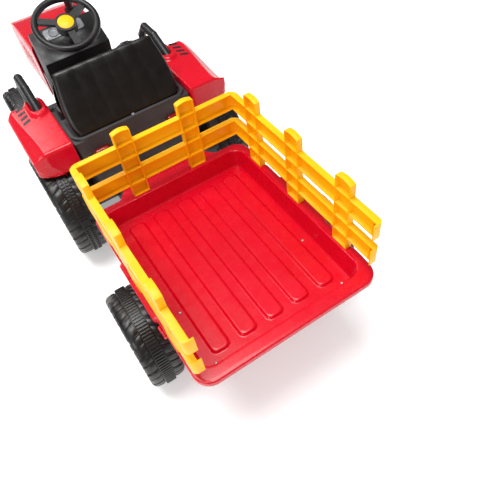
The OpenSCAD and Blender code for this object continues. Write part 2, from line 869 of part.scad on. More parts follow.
module trailer_tray() {
    floor_front = tray_front_y + flange + draft;
    floor_rear = tray_rear_y - rear_flange - draft;
    rib_front = floor_front + 18;
    rib_rear = floor_rear - 22;
    color(red) union() {
        difference() {
            union() {
                translate([0, 0, rim_z - wall]) linear_extrude(wall) rim_outline(0);
                translate([0, 0, rim_z - lip_drop]) linear_extrude(lip_drop) difference() {
                    rim_outline(0);
                    rim_outline(wall);
                }
                tray_hollow(wall);
            }
            tray_hollow(0);
            translate([0, 0, rim_z - 0.5 * wall])
                linear_extrude(wall) square([tray_w - 4 * flange, 300], center = true);
        }
        for (i = [0 : rib_count - 1])
            translate([(i - (rib_count - 1) / 2) * rib_pitch, (rib_front + rib_rear) / 2,
                rim_z - tray_d - eps])
                linear_extrude(5) slot2d(rib_w, rib_rear - rib_front);
        // a moulded hook behind each guard
        for (s = [-1, 1]) translate([s * (tray_w / 2 + 2), 538, 0]) difference() {
            block([-4, -13, rim_z - 20], [4, 13, rim_z - 5]);
            block([-1, -9, rim_z - 16], [5, 9, rim_z + 1]);
        }
    }
}

// ---- fence -------------------------------------------------------------------

rail_1 = [102, 140];                 // upper rail, above the rim
rail_2 = [33, 71];                   // lower rail
fence_x = 179;                       // inner face of the side fences
fence_y = tray_front_y + 13.5;       // inner face of the front fence
seam_x = 172;                        // seam between front and side panels
corner_r = 18;
end_r = 9;                           // round outer corner at the rails' rear ends
fence_rear_y = tray_rear_y - 13.5;
side_posts = [574, 422, 279];
front_posts = [-72.5, 72.5];
front_post_w = 38;

// Plan of the fence's section, s inside its outer face
module fence_plan(s) {
    x = fence_x + fence_d - s;
    y = fence_y - fence_d + s;
    difference() {
        union() {
            translate([-x, y + corner_r - s])
                square([2 * x, fence_rear_y - y - corner_r - end_r + s]);
            translate([0, y + 100]) rounded_rect(2 * x, 200, corner_r - s);
            translate([0, fence_rear_y - s - 60]) rounded_rect(2 * x, 120, end_r - s);
        }
        children();
    }
}

// Plan left of the seam, or between the seams
module side_zone() { translate([seam_x, 0]) square([100, fence_rear_y + 1]); }
module front_zone() { translate([-seam_x + gap / 2, 0]) square([2 * seam_x - gap, 400]); }

module inner_space() {
    translate([-fence_x, fence_y]) square([2 * fence_x, 800]);
}

// A channel rail between two heights: outer web, two flanges
module rail(z) {
    low = rim_z + z[0];
    high = rim_z + z[1];
    for (h = [low, high - fence_t]) translate([0, 0, h])
        linear_extrude(fence_t) intersection() {
            fence_plan(0) inner_space();
            children();
        }
    translate([0, 0, low]) linear_extrude(high - low) intersection() {
        difference() {
            fence_plan(0);
            fence_plan(fence_t);
        }
        children();
    }
}

// A hollow-backed post of width w, its web on the plane y = 0, opening towards +Y
module post(w) {
    arch = 4.5;
    base = rim_z;
    top = rim_z + post_h;
    difference() {
        along(0, fence_d) post_outline(w, base, top, arch);
        along(fence_t, fence_d + 1)
            post_outline(w - 2 * fence_t, base + fence_t, top - fence_t, arch - 1);
    }
    for (z = [rail_1[0], rail_1[1], rail_2[0], rail_2[1]])
        block([-w / 2 + 1, 0, rim_z + z - fence_t], [w / 2 - 1, fence_d, rim_z + z]);
}

// A tall rectangle with a flatly arched top and round shoulders
module post_outline(w, base, top, arch) {
    r = (w * w / 4 + arch * arch) / (2 * arch);
    shoulder = 5;
    translate([-w / 2, base]) square([w, top - arch - shoulder - base]);
    intersection() {
        translate([0, top - r]) circle(r, $fn = 128);
        translate([0, top - 40]) rounded_rect(w, 80, shoulder);
    }
}

module fence_left() {
    color(yellow) difference() {
        union() {
            rail(rail_1) side_zone();
            rail(rail_2) side_zone();
            for (y = side_posts) translate([fence_x + fence_d, y, 0]) rotate(90) post(post_w);
            // a rib before each rail's rear end
            for (z = [rail_1, rail_2]) block([fence_x, fence_rear_y - 14, rim_z + z[0] + 1],
                [fence_x + fence_d - 1, fence_rear_y - 14 + fence_t, rim_z + z[1] - 1]);
        }
        // the rim that the posts stand on
        linear_extrude(rim_z) square([600, 2000], center = true);
    }
}
module fence_right() { right_hand() fence_left(); }

module fence_front() {
    color(yellow) difference() {
        union() {
            rail(rail_1) front_zone();
            rail(rail_2) front_zone();
            for (x = front_posts) translate([x, fence_y - fence_d, 0]) post(front_post_w);
        }
        linear_extrude(rim_z) square([600, 2000], center = true);
    }
}

module tray_screws() {
    floor_z = rim_z - tray_d;
    color(steel) for (p = [[143.5, 630], [-143.5, 630], [147, 499], [-147, 499]])
        translate([p[0], p[1], floor_z + eps]) difference() {
            intersection() {
                cylinder(r = 3.2, h = 2);
                translate([0, 0, -2.4]) sphere(4.2);
            }
            translate([0, 0, 1.4]) cube([4, 0.8, 2], center = true);
        }
}

chassis();
footplate_left();
footplate_right();
front_bumper();
hood();
grille();
headlight_bezels();
headlight_lenses();
exhaust_stack();
dashboard();
gauge_panel();
steering_bush();
steering_shaft();
steering_wheel();
horn_button();
front_axle_beam();
knuckle_left();
knuckle_right();
tie_rod();
front_wheel_left();
front_wheel_right();
front_hub_cap_left();
front_hub_cap_right();
front_nut_left();
front_nut_right();
rear_axle();
rear_axle_nuts();
rear_wheel_left();
rear_wheel_right();
rear_hub_cap_left();
rear_hub_cap_right();
gearbox_left();
gearbox_right();
battery();
rear_deck();
tail_lamps();
seat();
seat_screw();
fender_left();
fender_right();
grab_bar_left();
grab_bar_right();
pedal();
shift_lever();
hitch_bracket();
hitch_pin();
drawbar();
trailer_frame();
trailer_axle();
axle_spacers();
trailer_axle_nuts();
trailer_wheel_left();
trailer_wheel_right();
trailer_hub_cap_left();
trailer_hub_cap_right();
trailer_tray();
fence_left();
fence_right();
fence_front();
tray_screws();
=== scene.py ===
# Ride-on tractor with a fenced tray trailer: finishes, detailed pieces, floor, light and camera.
import json
import math

import bmesh
import bpy
from mathutils import Matrix, Vector


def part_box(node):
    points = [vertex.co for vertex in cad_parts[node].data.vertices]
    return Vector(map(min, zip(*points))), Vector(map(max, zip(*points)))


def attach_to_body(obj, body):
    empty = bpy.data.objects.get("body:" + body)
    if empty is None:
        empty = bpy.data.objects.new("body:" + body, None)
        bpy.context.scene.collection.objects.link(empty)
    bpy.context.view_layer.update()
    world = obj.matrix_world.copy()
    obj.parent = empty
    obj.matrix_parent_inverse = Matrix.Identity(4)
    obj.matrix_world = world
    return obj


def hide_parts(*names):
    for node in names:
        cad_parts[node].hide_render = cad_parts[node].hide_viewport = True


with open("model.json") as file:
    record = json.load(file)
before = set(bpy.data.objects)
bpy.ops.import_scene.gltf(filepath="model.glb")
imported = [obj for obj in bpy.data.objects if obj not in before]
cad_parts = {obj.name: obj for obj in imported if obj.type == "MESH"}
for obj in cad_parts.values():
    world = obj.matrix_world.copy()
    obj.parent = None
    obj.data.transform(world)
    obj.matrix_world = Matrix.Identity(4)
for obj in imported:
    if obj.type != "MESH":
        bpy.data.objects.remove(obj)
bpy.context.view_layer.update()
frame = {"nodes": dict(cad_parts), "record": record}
nodes = frame["nodes"]
bodyOf = {node: body for body, members in frame["record"]["behaviour"]["bodies"].items()
          for node in members}
scene = bpy.context.scene
mm = 0.001
print("frame loaded:", len(nodes), "nodes")


# ---- materials

def newMaterial(name):
    material = bpy.data.materials.new(name)
    material.use_nodes = True
    tree = material.node_tree
    shader = tree.nodes["Principled BSDF"]
    return material, tree, shader


def noise(tree, scale, detail=2.0, rough=0.5, stretch=(1, 1, 1)):
    place = tree.nodes.new("ShaderNodeTexCoord")
    mapping = tree.nodes.new("ShaderNodeMapping")
    mapping.inputs["Scale"].default_value = stretch
    pattern = tree.nodes.new("ShaderNodeTexNoise")
    pattern.inputs["Scale"].default_value = scale
    pattern.inputs["Detail"].default_value = detail
    pattern.inputs["Roughness"].default_value = rough
    tree.links.new(place.outputs["Object"], mapping.inputs["Vector"])
    tree.links.new(mapping.outputs["Vector"], pattern.inputs["Vector"])
    return pattern.outputs["Fac"]


def ranged(tree, value, low, high, fromLow=0.3, fromHigh=0.7):
    step = tree.nodes.new("ShaderNodeMapRange")
    step.inputs["From Min"].default_value = fromLow
    step.inputs["From Max"].default_value = fromHigh
    step.inputs["To Min"].default_value = low
    step.inputs["To Max"].default_value = high
    tree.links.new(value, step.inputs["Value"])
    return step.outputs["Result"]


def between(tree, share, first, second):
    mix = tree.nodes.new("ShaderNodeMix")
    mix.data_type = "RGBA"
    mix.inputs["A"].default_value = (*first, 1)
    mix.inputs["B"].default_value = (*second, 1)
    tree.links.new(share, mix.inputs["Factor"])
    return mix.outputs["Result"]


def bumped(tree, shader, height, depth, strength):
    bump = tree.nodes.new("ShaderNodeBump")
    bump.inputs["Strength"].default_value = strength
    bump.inputs["Distance"].default_value = depth
    tree.links.new(height, bump.inputs["Height"])
    tree.links.new(bump.outputs["Normal"], shader.inputs["Normal"])


# finish: darker and lighter colour of the cloud, gloss range, grain size and depth
def mouldedPlastic(name, finish):
    material, tree, shader = newMaterial(name)
    cloud = noise(tree, finish["cloudScale"], 3)
    colour = between(tree, ranged(tree, cloud, 0, 1), finish["dark"], finish["light"])
    tree.links.new(colour, shader.inputs["Base Color"])
    haze = noise(tree, finish["hazeScale"], 4, 0.6)
    tree.links.new(ranged(tree, haze, *finish["roughness"]), shader.inputs["Roughness"])
    shader.inputs["Coat Weight"].default_value = finish.get("coat", 0)
    shader.inputs["Coat Roughness"].default_value = 0.12
    shader.inputs["Specular IOR Level"].default_value = finish.get("specular", 0.5)
    bumped(tree, shader, noise(tree, finish["grainScale"], 2, 0.6), finish["grainDepth"],
           finish["grainStrength"])
    return material


def metal(name, finish):
    material, tree, shader = newMaterial(name)
    streak = noise(tree, finish["scale"], 3, 0.6, finish["stretch"])
    colour = between(tree, ranged(tree, streak, 0, 1), finish["dark"], finish["light"])
    tree.links.new(colour, shader.inputs["Base Color"])
    tree.links.new(ranged(tree, streak, *finish["roughness"]), shader.inputs["Roughness"])
    shader.inputs["Metallic"].default_value = finish["metallic"]
    bumped(tree, shader, streak, finish["depth"], 0.25)
    return material


finishes = {
    "redGloss": {"dark": (0.54, 0.0004, 0.010), "light": (0.61, 0.0010, 0.017), "cloudScale": 6,
                 "hazeScale": 35, "roughness": (0.22, 0.32), "coat": 0.15, "specular": 0.32,
                 "grainScale": 420, "grainDepth": 0.0001, "grainStrength": 0.08},
    "yellowSatin": {"dark": (0.94, 0.44, 0.0), "light": (1.0, 0.52, 0.001), "cloudScale": 9,
                    "hazeScale": 40, "roughness": (0.36, 0.48), "specular": 0.3,
                    "grainScale": 500, "grainDepth": 0.0001, "grainStrength": 0.1},
    "blackGrain": {"dark": (0.007, 0.006, 0.0065), "light": (0.014, 0.012, 0.013),
                   "cloudScale": 14, "hazeScale": 60, "roughness": (0.34, 0.48),
                   "grainScale": 900, "grainDepth": 0.0003, "grainStrength": 0.3},
    "deckGrain": {"dark": (0.030, 0.026, 0.028), "light": (0.045, 0.040, 0.043),
                  "cloudScale": 14, "hazeScale": 60, "roughness": (0.40, 0.54),
                  "grainScale": 900, "grainDepth": 0.0003, "grainStrength": 0.3},
    "seatBlack": {"dark": (0.0025, 0.0014, 0.0010), "light": (0.006, 0.0036, 0.0028),
                  "cloudScale": 10, "hazeScale": 50, "roughness": (0.30, 0.44),
                  "grainScale": 700, "grainDepth": 0.0003, "grainStrength": 0.25},
    "wheelBlack": {"dark": (0.006, 0.005, 0.005), "light": (0.013, 0.011, 0.011),
                   "cloudScale": 12, "hazeScale": 45, "roughness": (0.30, 0.44),
                   "grainScale": 650, "grainDepth": 0.0003, "grainStrength": 0.25},
    "batteryGrey": {"dark": (0.10, 0.10, 0.11), "light": (0.15, 0.15, 0.16), "cloudScale": 10,
                    "hazeScale": 50, "roughness": (0.45, 0.6), "grainScale": 700,
                    "grainDepth": 0.0004, "grainStrength": 0.3},
    "dialGrey": {"dark": (0.26, 0.27, 0.29), "light": (0.33, 0.34, 0.36), "cloudScale": 20,
                 "hazeScale": 80, "roughness": (0.25, 0.35), "coat": 0.3, "grainScale": 900,
                 "grainDepth": 0.0002, "grainStrength": 0.1},
    "lampRed": {"dark": (0.16, 0.002, 0.004), "light": (0.26, 0.005, 0.008), "cloudScale": 60,
                "hazeScale": 80, "roughness": (0.10, 0.18), "coat": 0.6, "grainScale": 900,
                "grainDepth": 0.0002, "grainStrength": 0.08},
    "lensClear": {"dark": (0.55, 0.58, 0.60), "light": (0.70, 0.73, 0.75), "cloudScale": 90,
                  "hazeScale": 60, "roughness": (0.05, 0.12), "coat": 1.0, "grainScale": 160,
                  "grainDepth": 0.0006, "grainStrength": 0.5},
    "stripeBlack": {"dark": (0.010, 0.010, 0.011), "light": (0.018, 0.018, 0.020),
                    "cloudScale": 30, "hazeScale": 90, "roughness": (0.3, 0.42),
                    "grainScale": 900, "grainDepth": 0.0001, "grainStrength": 0.05},
}
looks = {name: mouldedPlastic(name, finish) for name, finish in finishes.items()}
metals = {
    "zincSteel": {"dark": (0.50, 0.50, 0.52), "light": (0.68, 0.68, 0.69), "scale": 160,
                  "stretch": (1, 8, 8), "roughness": (0.26, 0.42), "metallic": 1.0,
                  "depth": 0.0001},
    "blackCoat": {"dark": (0.012, 0.012, 0.013), "light": (0.022, 0.022, 0.024), "scale": 300,
                  "stretch": (1, 1, 1), "roughness": (0.38, 0.52), "metallic": 0.0,
                  "depth": 0.0003},
    "brightTrim": {"dark": (0.74, 0.74, 0.76), "light": (0.84, 0.84, 0.86), "scale": 90,
                   "stretch": (1, 1, 1), "roughness": (0.08, 0.16), "metallic": 1.0,
                   "depth": 0.00005},
}
looks.update({name: metal(name, finish) for name, finish in metals.items()})
print("materials made")


# ---- mesh helpers

def finishMesh(mesh, smoothAngle):
    for polygon in mesh.polygons:
        polygon.use_smooth = True
    mesh.set_sharp_from_angle(angle=math.radians(smoothAngle))


def meshPiece(name, points, faces, look, smoothAngle=38, outward=True):
    mesh = bpy.data.meshes.new(name)
    mesh.from_pydata(points, [], faces)
    mesh.materials.append(looks[look])
    if outward:
        edit = bmesh.new()
        edit.from_mesh(mesh)
        bmesh.ops.remove_doubles(edit, verts=edit.verts, dist=1e-6)
        bmesh.ops.recalc_face_normals(edit, faces=edit.faces)
        edit.to_mesh(mesh)
        edit.free()
    finishMesh(mesh, smoothAngle)
    piece = bpy.data.objects.new(name, mesh)
    scene.collection.objects.link(piece)
    return piece


# turns the piece and its modifiers into one plain mesh
def settle(piece, smoothAngle=38):
    view = bpy.context.evaluated_depsgraph_get()
    mesh = bpy.data.meshes.new_from_object(piece.evaluated_get(view))
    piece.modifiers.clear()
    piece.data = mesh
    finishMesh(mesh, smoothAngle)
    return piece


# one round of subdivision, kept as a plain mesh
def rounded(piece, smoothAngle=38):
    rounding = piece.modifiers.new("round", "SUBSURF")
    rounding.levels = 1
    rounding.render_levels = 1
    return settle(piece, smoothAngle)


# turns an open sheet so that the face that pick chooses looks up, then gives it its wall
def walled(piece, pick, skin, smoothAngle):
    edit = bmesh.new()
    edit.from_mesh(piece.data)
    bmesh.ops.recalc_face_normals(edit, faces=edit.faces)
    edit.faces.ensure_lookup_table()
    if pick(edit.faces).normal.z < 0:
        bmesh.ops.reverse_faces(edit, faces=edit.faces)
    edit.to_mesh(piece.data)
    edit.free()
    wall = piece.modifiers.new("wall", "SOLIDIFY")
    wall.thickness = skin
    wall.offset = -1
    return settle(piece, smoothAngle)


def gridFaces(rows, columns, closeRows=False, closeColumns=False):
    faces = []
    for i in range(rows if closeRows else rows - 1):
        for j in range(columns if closeColumns else columns - 1):
            a, b = (i + 1) % rows, (j + 1) % columns
            faces.append((i * columns + j, i * columns + b, a * columns + b, a * columns + j))
    return faces


def attach(piece, node, also=()):
    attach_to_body(piece, bodyOf[node])
    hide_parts(node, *also)


def smooth(t):
    t = min(1.0, max(0.0, t))
    return t * t * (3 - 2 * t)


# a copy of a node with its sharp edges rounded
def softened(node, look, width):
    piece = bpy.data.objects.new(node + "_moulding", nodes[node].data.copy())
    scene.collection.objects.link(piece)
    piece.data.materials.clear()
    piece.data.materials.append(looks[look])
    edit = bmesh.new()
    edit.from_mesh(piece.data)
    bmesh.ops.remove_doubles(edit, verts=edit.verts, dist=2e-6)
    bmesh.ops.dissolve_limit(edit, angle_limit=math.radians(1), verts=edit.verts,
                             edges=edit.edges)
    edit.to_mesh(piece.data)
    edit.free()
    bevel = piece.modifiers.new("edges", "BEVEL")
    bevel.width = width
    bevel.segments = 2
    bevel.limit_method = "ANGLE"
    bevel.angle_limit = math.radians(40)
    bevel.use_clamp_overlap = True
    return settle(piece)


# ---- trees of nodes for what repeats

def socketOf(tree, name):
    return next(item.identifier for item in tree.interface.items_tree if item.name == name)


# copies of a piece round the X axis, in groups with a rest between them
def ringTree():
    tree = bpy.data.node_groups.new("aroundAxle", "GeometryNodeTree")
    face = tree.interface
    face.new_socket("Geometry", in_out="INPUT", socket_type="NodeSocketGeometry")
    face.new_socket("Piece", in_out="INPUT", socket_type="NodeSocketObject")
    for name in ("Count", "Group", "Rest"):
        face.new_socket(name, in_out="INPUT", socket_type="NodeSocketInt")
    face.new_socket("Phase", in_out="INPUT", socket_type="NodeSocketFloat")
    face.new_socket("Material", in_out="INPUT", socket_type="NodeSocketMaterial")
    face.new_socket("Geometry", in_out="OUTPUT", socket_type="NodeSocketGeometry")

    def add(kind, **values):
        node = tree.nodes.new(kind)
        for key, value in values.items():
            setattr(node, key, value)
        return node

    given, result = add("NodeGroupInput"), add("NodeGroupOutput")
    info = add("GeometryNodeObjectInfo")
    points = add("GeometryNodePoints")
    index = add("GeometryNodeInputIndex")
    turn = add("ShaderNodeMath", operation="DIVIDE")
    angle = add("ShaderNodeMath", operation="MULTIPLY_ADD")
    place = add("ShaderNodeCombineXYZ")
    left = add("ShaderNodeMath", operation="FLOORED_MODULO")
    shown = add("ShaderNodeMath", operation="SUBTRACT")
    keep = add("ShaderNodeMath", operation="LESS_THAN")
    copies = add("GeometryNodeInstanceOnPoints")
    real = add("GeometryNodeRealizeInstances")
    both = add("GeometryNodeJoinGeometry")
    painted = add("GeometryNodeSetMaterial")
    link = tree.links.new
    link(given.outputs["Piece"], info.inputs["Object"])
    link(given.outputs["Count"], points.inputs["Count"])
    link(index.outputs["Index"], turn.inputs[0])
    link(given.outputs["Count"], turn.inputs[1])
    link(turn.outputs[0], angle.inputs[0])
    angle.inputs[1].default_value = 2 * math.pi
    link(given.outputs["Phase"], angle.inputs[2])
    link(angle.outputs[0], place.inputs["X"])
    link(index.outputs["Index"], left.inputs[0])
    link(given.outputs["Group"], left.inputs[1])
    link(given.outputs["Group"], shown.inputs[0])
    link(given.outputs["Rest"], shown.inputs[1])
    link(left.outputs[0], keep.inputs[0])
    link(shown.outputs[0], keep.inputs[1])
    link(points.outputs[0], copies.inputs["Points"])
    link(keep.outputs[0], copies.inputs["Selection"])
    link(info.outputs["Geometry"], copies.inputs["Instance"])
    link(place.outputs[0], copies.inputs["Rotation"])
    link(given.outputs["Geometry"], both.inputs["Geometry"])
    link(copies.outputs["Instances"], both.inputs["Geometry"])
    link(both.outputs["Geometry"], real.inputs["Geometry"])
    link(real.outputs["Geometry"], painted.inputs["Geometry"])
    link(given.outputs["Material"], painted.inputs["Material"])
    link(painted.outputs["Geometry"], result.inputs["Geometry"])
    return tree


aroundAxle = ringTree()


# runs one tree on the piece and keeps the result as a plain mesh
def repeated(piece, tree, **values):
    step = piece.modifiers.new("repeat", "NODES")
    step.node_group = tree
    for name, value in values.items():
        step[socketOf(tree, name)] = value
    return settle(piece)


# ---- wheels

wheelShape = {
    "band": 11.2 * mm,      # half width of the middle band
    "markRise": 1.8 * mm,   # how far the marks stand out of the band
    "dish": 0.62,           # dish radius over wheel radius
    "dishDepth": 17 * mm,
    "bore": 6.05 * mm,
    "boss": 20 * mm,
    "segments": 144,
    "padRise": 1.9 * mm,    # how far the tread pads stand out
    "padSink": 1.5 * mm,
    "lean": 0.30,           # how much the pads lean back towards the sides
}
trailerTread = {"pads": 16, "marks": 108, "group": 54, "rest": 4, "kind": "ribs", "phase": -2.05}
rearTread = {"pads": 18, "marks": 116, "group": 29, "rest": 2, "kind": "hooks", "phase": 0.3}
frontTread = {"pads": 16, "marks": 100, "group": 50, "rest": 4, "kind": "ribs", "phase": 0.3}


# outer shoulder from the band's foot round to the side wall, as (x, radius)
def shoulderLine(r, h):
    b = wheelShape["band"]
    return [(b + 1.6 * mm, r - 5.4 * mm), (b + 7 * mm, r - 5.6 * mm), (h - 9 * mm, r - 6.8 * mm),
            (h - 4.6 * mm, r - 8.6 * mm), (h - 1.9 * mm, r - 11.6 * mm),
            (h - 0.4 * mm, r - 16 * mm), (h, r - 21 * mm)]


def wheelProfile(r, w):
    h = w / 2
    s = wheelShape
    dish = r * s["dish"]
    top = r - s["markRise"]
    half = [(s["band"] - 0.9 * mm, top), (s["band"] - 0.2 * mm, top - 0.7 * mm),
            (s["band"] + 0.1 * mm, r - 6.2 * mm), (s["band"] + 1.0 * mm, r - 6.2 * mm)]
    outer = half + shoulderLine(r, h)
    floor = h - s["dishDepth"]
    face = [(h, dish + 13 * mm), (h - 0.8 * mm, dish + 11.5 * mm), (h - 0.8 * mm, dish + 8 * mm),
            (h, dish + 6.5 * mm), (h - 0.6 * mm, dish + 3 * mm), (h - 2 * mm, dish + 1 * mm),
            (floor + 2 * mm, dish), (floor, dish - 2 * mm), (floor, s["boss"] + 6 * mm),
            (floor, s["bore"])]
    back = [(-h + 1 * mm, dish + 16 * mm), (-h + 2 * mm, dish), (-h + 6 * mm, s["boss"] + 6 * mm),
            (-h + 6 * mm, s["boss"]), (-h - 3 * mm, s["boss"]), (-h - 4 * mm, s["boss"] - 1 * mm),
            (-h - 4 * mm, s["bore"])]
    inner = [(-x, radius) for x, radius in outer]
    return back[::-1] + inner[::-1] + outer + face


# a closed body turned round the X axis
def lathe(name, profile, look, segments):
    points = []
    for i in range(segments):
        angle = 2 * math.pi * i / segments
        points += [(x, radius * math.cos(angle), radius * math.sin(angle)) for x, radius in profile]
    faces = gridFaces(segments, len(profile), closeRows=True, closeColumns=True)
    return meshPiece(name, points, faces, look)


# a closed pad that follows a line of (x, radius), over an angle span in radians
def blockAlong(name, line, span, rise, chamfer, look, lean=0.0):
    sink = wheelShape["padSink"]
    nearest = min(abs(x) for x, _ in line)
    radius = line[0][1]
    edge = chamfer / radius
    angles = [-span / 2, -span / 2 + edge, 0, span / 2 - edge, span / 2]

    def raised(height, inset):
        points = []
        count = len(line)
        for k, (x, r) in enumerate(line):
            before, after = line[max(0, k - 1)], line[min(count - 1, k + 1)]
            along = Vector((after[0] - before[0], after[1] - before[1])).normalized()
            out = Vector((-along.y, along.x))
            if out.y < 0 and abs(out.y) > abs(out.x):
                out = -out
            ends = chamfer * inset * (1 if k == 0 else -1 if k == count - 1 else 0)
            spot = Vector((x, r)) + out * height + along * ends
            for angle in angles:
                turned = angle + lean * (abs(x) - nearest) / radius
                points.append((spot.x, spot.y * math.sin(turned), spot.y * math.cos(turned)))
        return points

    count, across = len(line), len(angles)
    low = raised(-sink, 0)
    high = raised(rise, 1)
    # the pad's rim stays lower than its middle, which makes the chamfer
    rim = raised(rise - chamfer, 0)
    for k in range(count):
        for j in range(across):
            if j in (0, across - 1) or k in (0, count - 1):
                high[k * across + j] = rim[k * across + j]
    points = low + high
    base = count * across
    faces = [tuple(reversed(f)) for f in gridFaces(count, across)]
    faces += [tuple(i + base for i in f) for f in gridFaces(count, across)]
    loop = ([j for j in range(across)] + [k * across + across - 1 for k in range(1, count)]
            + [(count - 1) * across + j for j in range(across - 2, -1, -1)]
            + [k * across for k in range(count - 2, 0, -1)])
    for a, b in zip(loop, loop[1:] + loop[:1]):
        faces.append((a, b, b + base, a + base))
    return meshPiece(name, points, faces, look, 50)


def barMark(name, x0, x1, width, rise, radius, look):
    line = [(x0, radius), ((x0 + x1) / 2, radius), (x1, radius)]
    return blockAlong(name, line, width / radius, rise, 0.35 * mm, look)


def joined(name, parts):
    edit = bmesh.new()
    for part in parts:
        edit.from_mesh(part.data)
        bpy.data.objects.remove(part)
    mesh = bpy.data.meshes.new(name)
    edit.to_mesh(mesh)
    edit.free()
    piece = bpy.data.objects.new(name, mesh)
    scene.collection.objects.link(piece)
    return piece


# a small raised hook: a foot along the band's middle and a prong towards its edge
def hookMark(name, side, radius, look):
    rise = wheelShape["markRise"]
    start, end = side * 1.6 * mm, side * 9.6 * mm
    prong = barMark(name + "Bar", start, end, 3.2 * mm, rise, radius, look)
    foot = barMark(name + "Foot", start, start + side * 2.0 * mm, 5.6 * mm, rise, radius, look)
    foot.data.transform(Matrix.Rotation(1.2 * mm / radius, 4, "X"))
    return joined(name, [prong, foot])


# puts a body made at the origin on the left side, and turned half round on the right
def placePair(body, node, centre, ending):
    for side, target in ((1, node), (-1, node.replace("left", "right"))):
        piece = bpy.data.objects.new(target + ending, body.data.copy())
        scene.collection.objects.link(piece)
        if side < 0:
            piece.data.transform(Matrix.Rotation(math.pi, 4, "Z"))
        piece.data.transform(Matrix.Translation((side * centre.x, centre.y, centre.z)))
        attach(piece, target)
    bpy.data.objects.remove(body)


def makeWheel(node, tread):
    low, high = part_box(node)
    r = (high.z - low.z) / 2
    w = high.x - low.x - 4 * mm
    centre = Vector(((high.x - w / 2), (low.y + high.y) / 2, (low.z + high.z) / 2))
    h = w / 2
    look = "wheelBlack"
    body = lathe(node.replace("_left", "Body"), wheelProfile(r, w), look, wheelShape["segments"])
    shoulder = shoulderLine(r, h)
    back = [(-x, radius) for x, radius in shoulder][::-1]
    pitch = 2 * math.pi / tread["pads"]
    rise, lean = wheelShape["padRise"], wheelShape["lean"]
    pads = [("widePad", 0.47, rise, 1.2 * mm, 0.0), ("narrowPad", 0.37, rise, 1.2 * mm, 0.46),
            ("ridge", 0.035, 1.3 * mm, 0.4 * mm, 0.71)]
    for line, half in ((shoulder, 0), (back, 0.5)):
        for name, span, height, chamfer, phase in pads:
            pad = blockAlong(name, line, pitch * span, height, chamfer, look, lean)
            repeated(body, aroundAxle, Piece=pad, Count=tread["pads"], Group=1, Rest=0,
                     Phase=(phase + half) * pitch, Material=looks[look])
            bpy.data.objects.remove(pad)
    bandTop = r - wheelShape["markRise"]
    if tread["kind"] == "ribs":
        edge = wheelShape["band"] - 0.7 * mm
        marks = [barMark("rib", -edge, edge, 3.6 * mm, wheelShape["markRise"], bandTop, look)]
    else:
        marks = [hookMark("hookOuter", 1, bandTop, look), hookMark("hookInner", -1, bandTop, look)]
    for mark in marks:
        repeated(body, aroundAxle, Piece=mark, Count=tread["marks"], Group=tread["group"],
                 Rest=tread["rest"], Phase=tread["phase"], Material=looks[look])
        bpy.data.objects.remove(mark)
    placePair(body, node, centre, "_tread")


capShape = {"spokes": 8, "rise": 17 * mm, "segments": 96}


# a domed yellow cover with raised spokes and a round middle
def makeCap(node):
    low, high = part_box(node)
    r = (high.z - low.z) / 2
    rise = high.x - low.x
    centre = Vector((low.x, (low.y + high.y) / 2, (low.z + high.z) / 2))
    look = "yellowSatin"
    profile = [(0, r - 3 * mm), (0, r), (0.3 * rise, r), (0.36 * rise, r - 0.8 * mm),
               (0.66 * rise, r - 4.6 * mm), (0.72 * rise, r - 6.5 * mm),
               (0.58 * rise, r - 11 * mm), (0.46 * rise, 0.60 * r), (0.50 * rise, 0.50 * r),
               (0.78 * rise, 0.42 * r), (0.84 * rise, 0.39 * r), (0.86 * rise, 0.30 * r),
               (0.94 * rise, 0.26 * r), (0.99 * rise, 0.20 * r), (1.0 * rise, 0.001),
               (0.8 * rise, 0.001), (0.3 * rise, 0.6 * r)]
    body = lathe(node.replace("_left", "Body"), profile, look, capShape["segments"])
    line = [(0.44 * rise, 0.44 * r), (0.42 * rise, 0.62 * r), (0.46 * rise, r - 9 * mm)]
    spoke = []
    for x, radius in line:
        for wide, up in ((-3.4, 0), (-2.2, 3.2), (2.2, 3.2), (3.4, 0)):
            spoke.append((x + up * mm, wide * mm * (0.7 + 0.5 * radius / r), radius))
    faces = gridFaces(3, 4, closeColumns=True) + [(0, 1, 2, 3), (8, 9, 10, 11)]
    piece = meshPiece("spoke", spoke, faces, look)
    repeated(body, aroundAxle, Piece=piece, Count=capShape["spokes"], Group=1, Rest=0, Phase=0.0,
             Material=looks[look])
    bpy.data.objects.remove(piece)
    placePair(body, node, centre, "_cover")


for wheelNode, wheelTread in (("trailer_wheel_left", trailerTread),
                              ("rear_wheel_left", rearTread),
                              ("front_wheel_left", frontTread)):
    makeWheel(wheelNode, wheelTread)
for capNode in ("trailer_hub_cap_left", "rear_hub_cap_left", "front_hub_cap_left"):
    makeCap(capNode)
print("wheels made")


# ---- tray

trayShape = {
    "hook": 6 * mm,          # how far the side hooks widen the box
    "guard": (352 * mm, 516 * mm, 9 * mm, 6 * mm),    # start, end, slant and width
    "nose": (100 * mm, 26 * mm, 24 * mm),   # half width, slant and length of the front bulge
    "flange": 20 * mm,
    "rearFlange": 29 * mm,
    "draft": 11 * mm,
    "depth": 41 * mm,
    "rib": {"count": 5, "pitch": 60 * mm, "width": 41 * mm, "rise": 5 * mm, "corner": 14 * mm,
            "slope": 5.5 * mm, "front": 18 * mm, "rear": 22 * mm},
    "corner": 16 * mm,
    "cornerSteps": 7,
    "rimCorner": 34 * mm,
    "seatRise": 3.0 * mm,    # flats between the posts stand this much higher
    "postHalf": 23.5 * mm,
    "postOffsets": (92.5 * mm, 244.5 * mm, 387.5 * mm),    # from the fence's rear end
    "hookY": 538 * mm,
    "skin": 2.6 * mm,
}


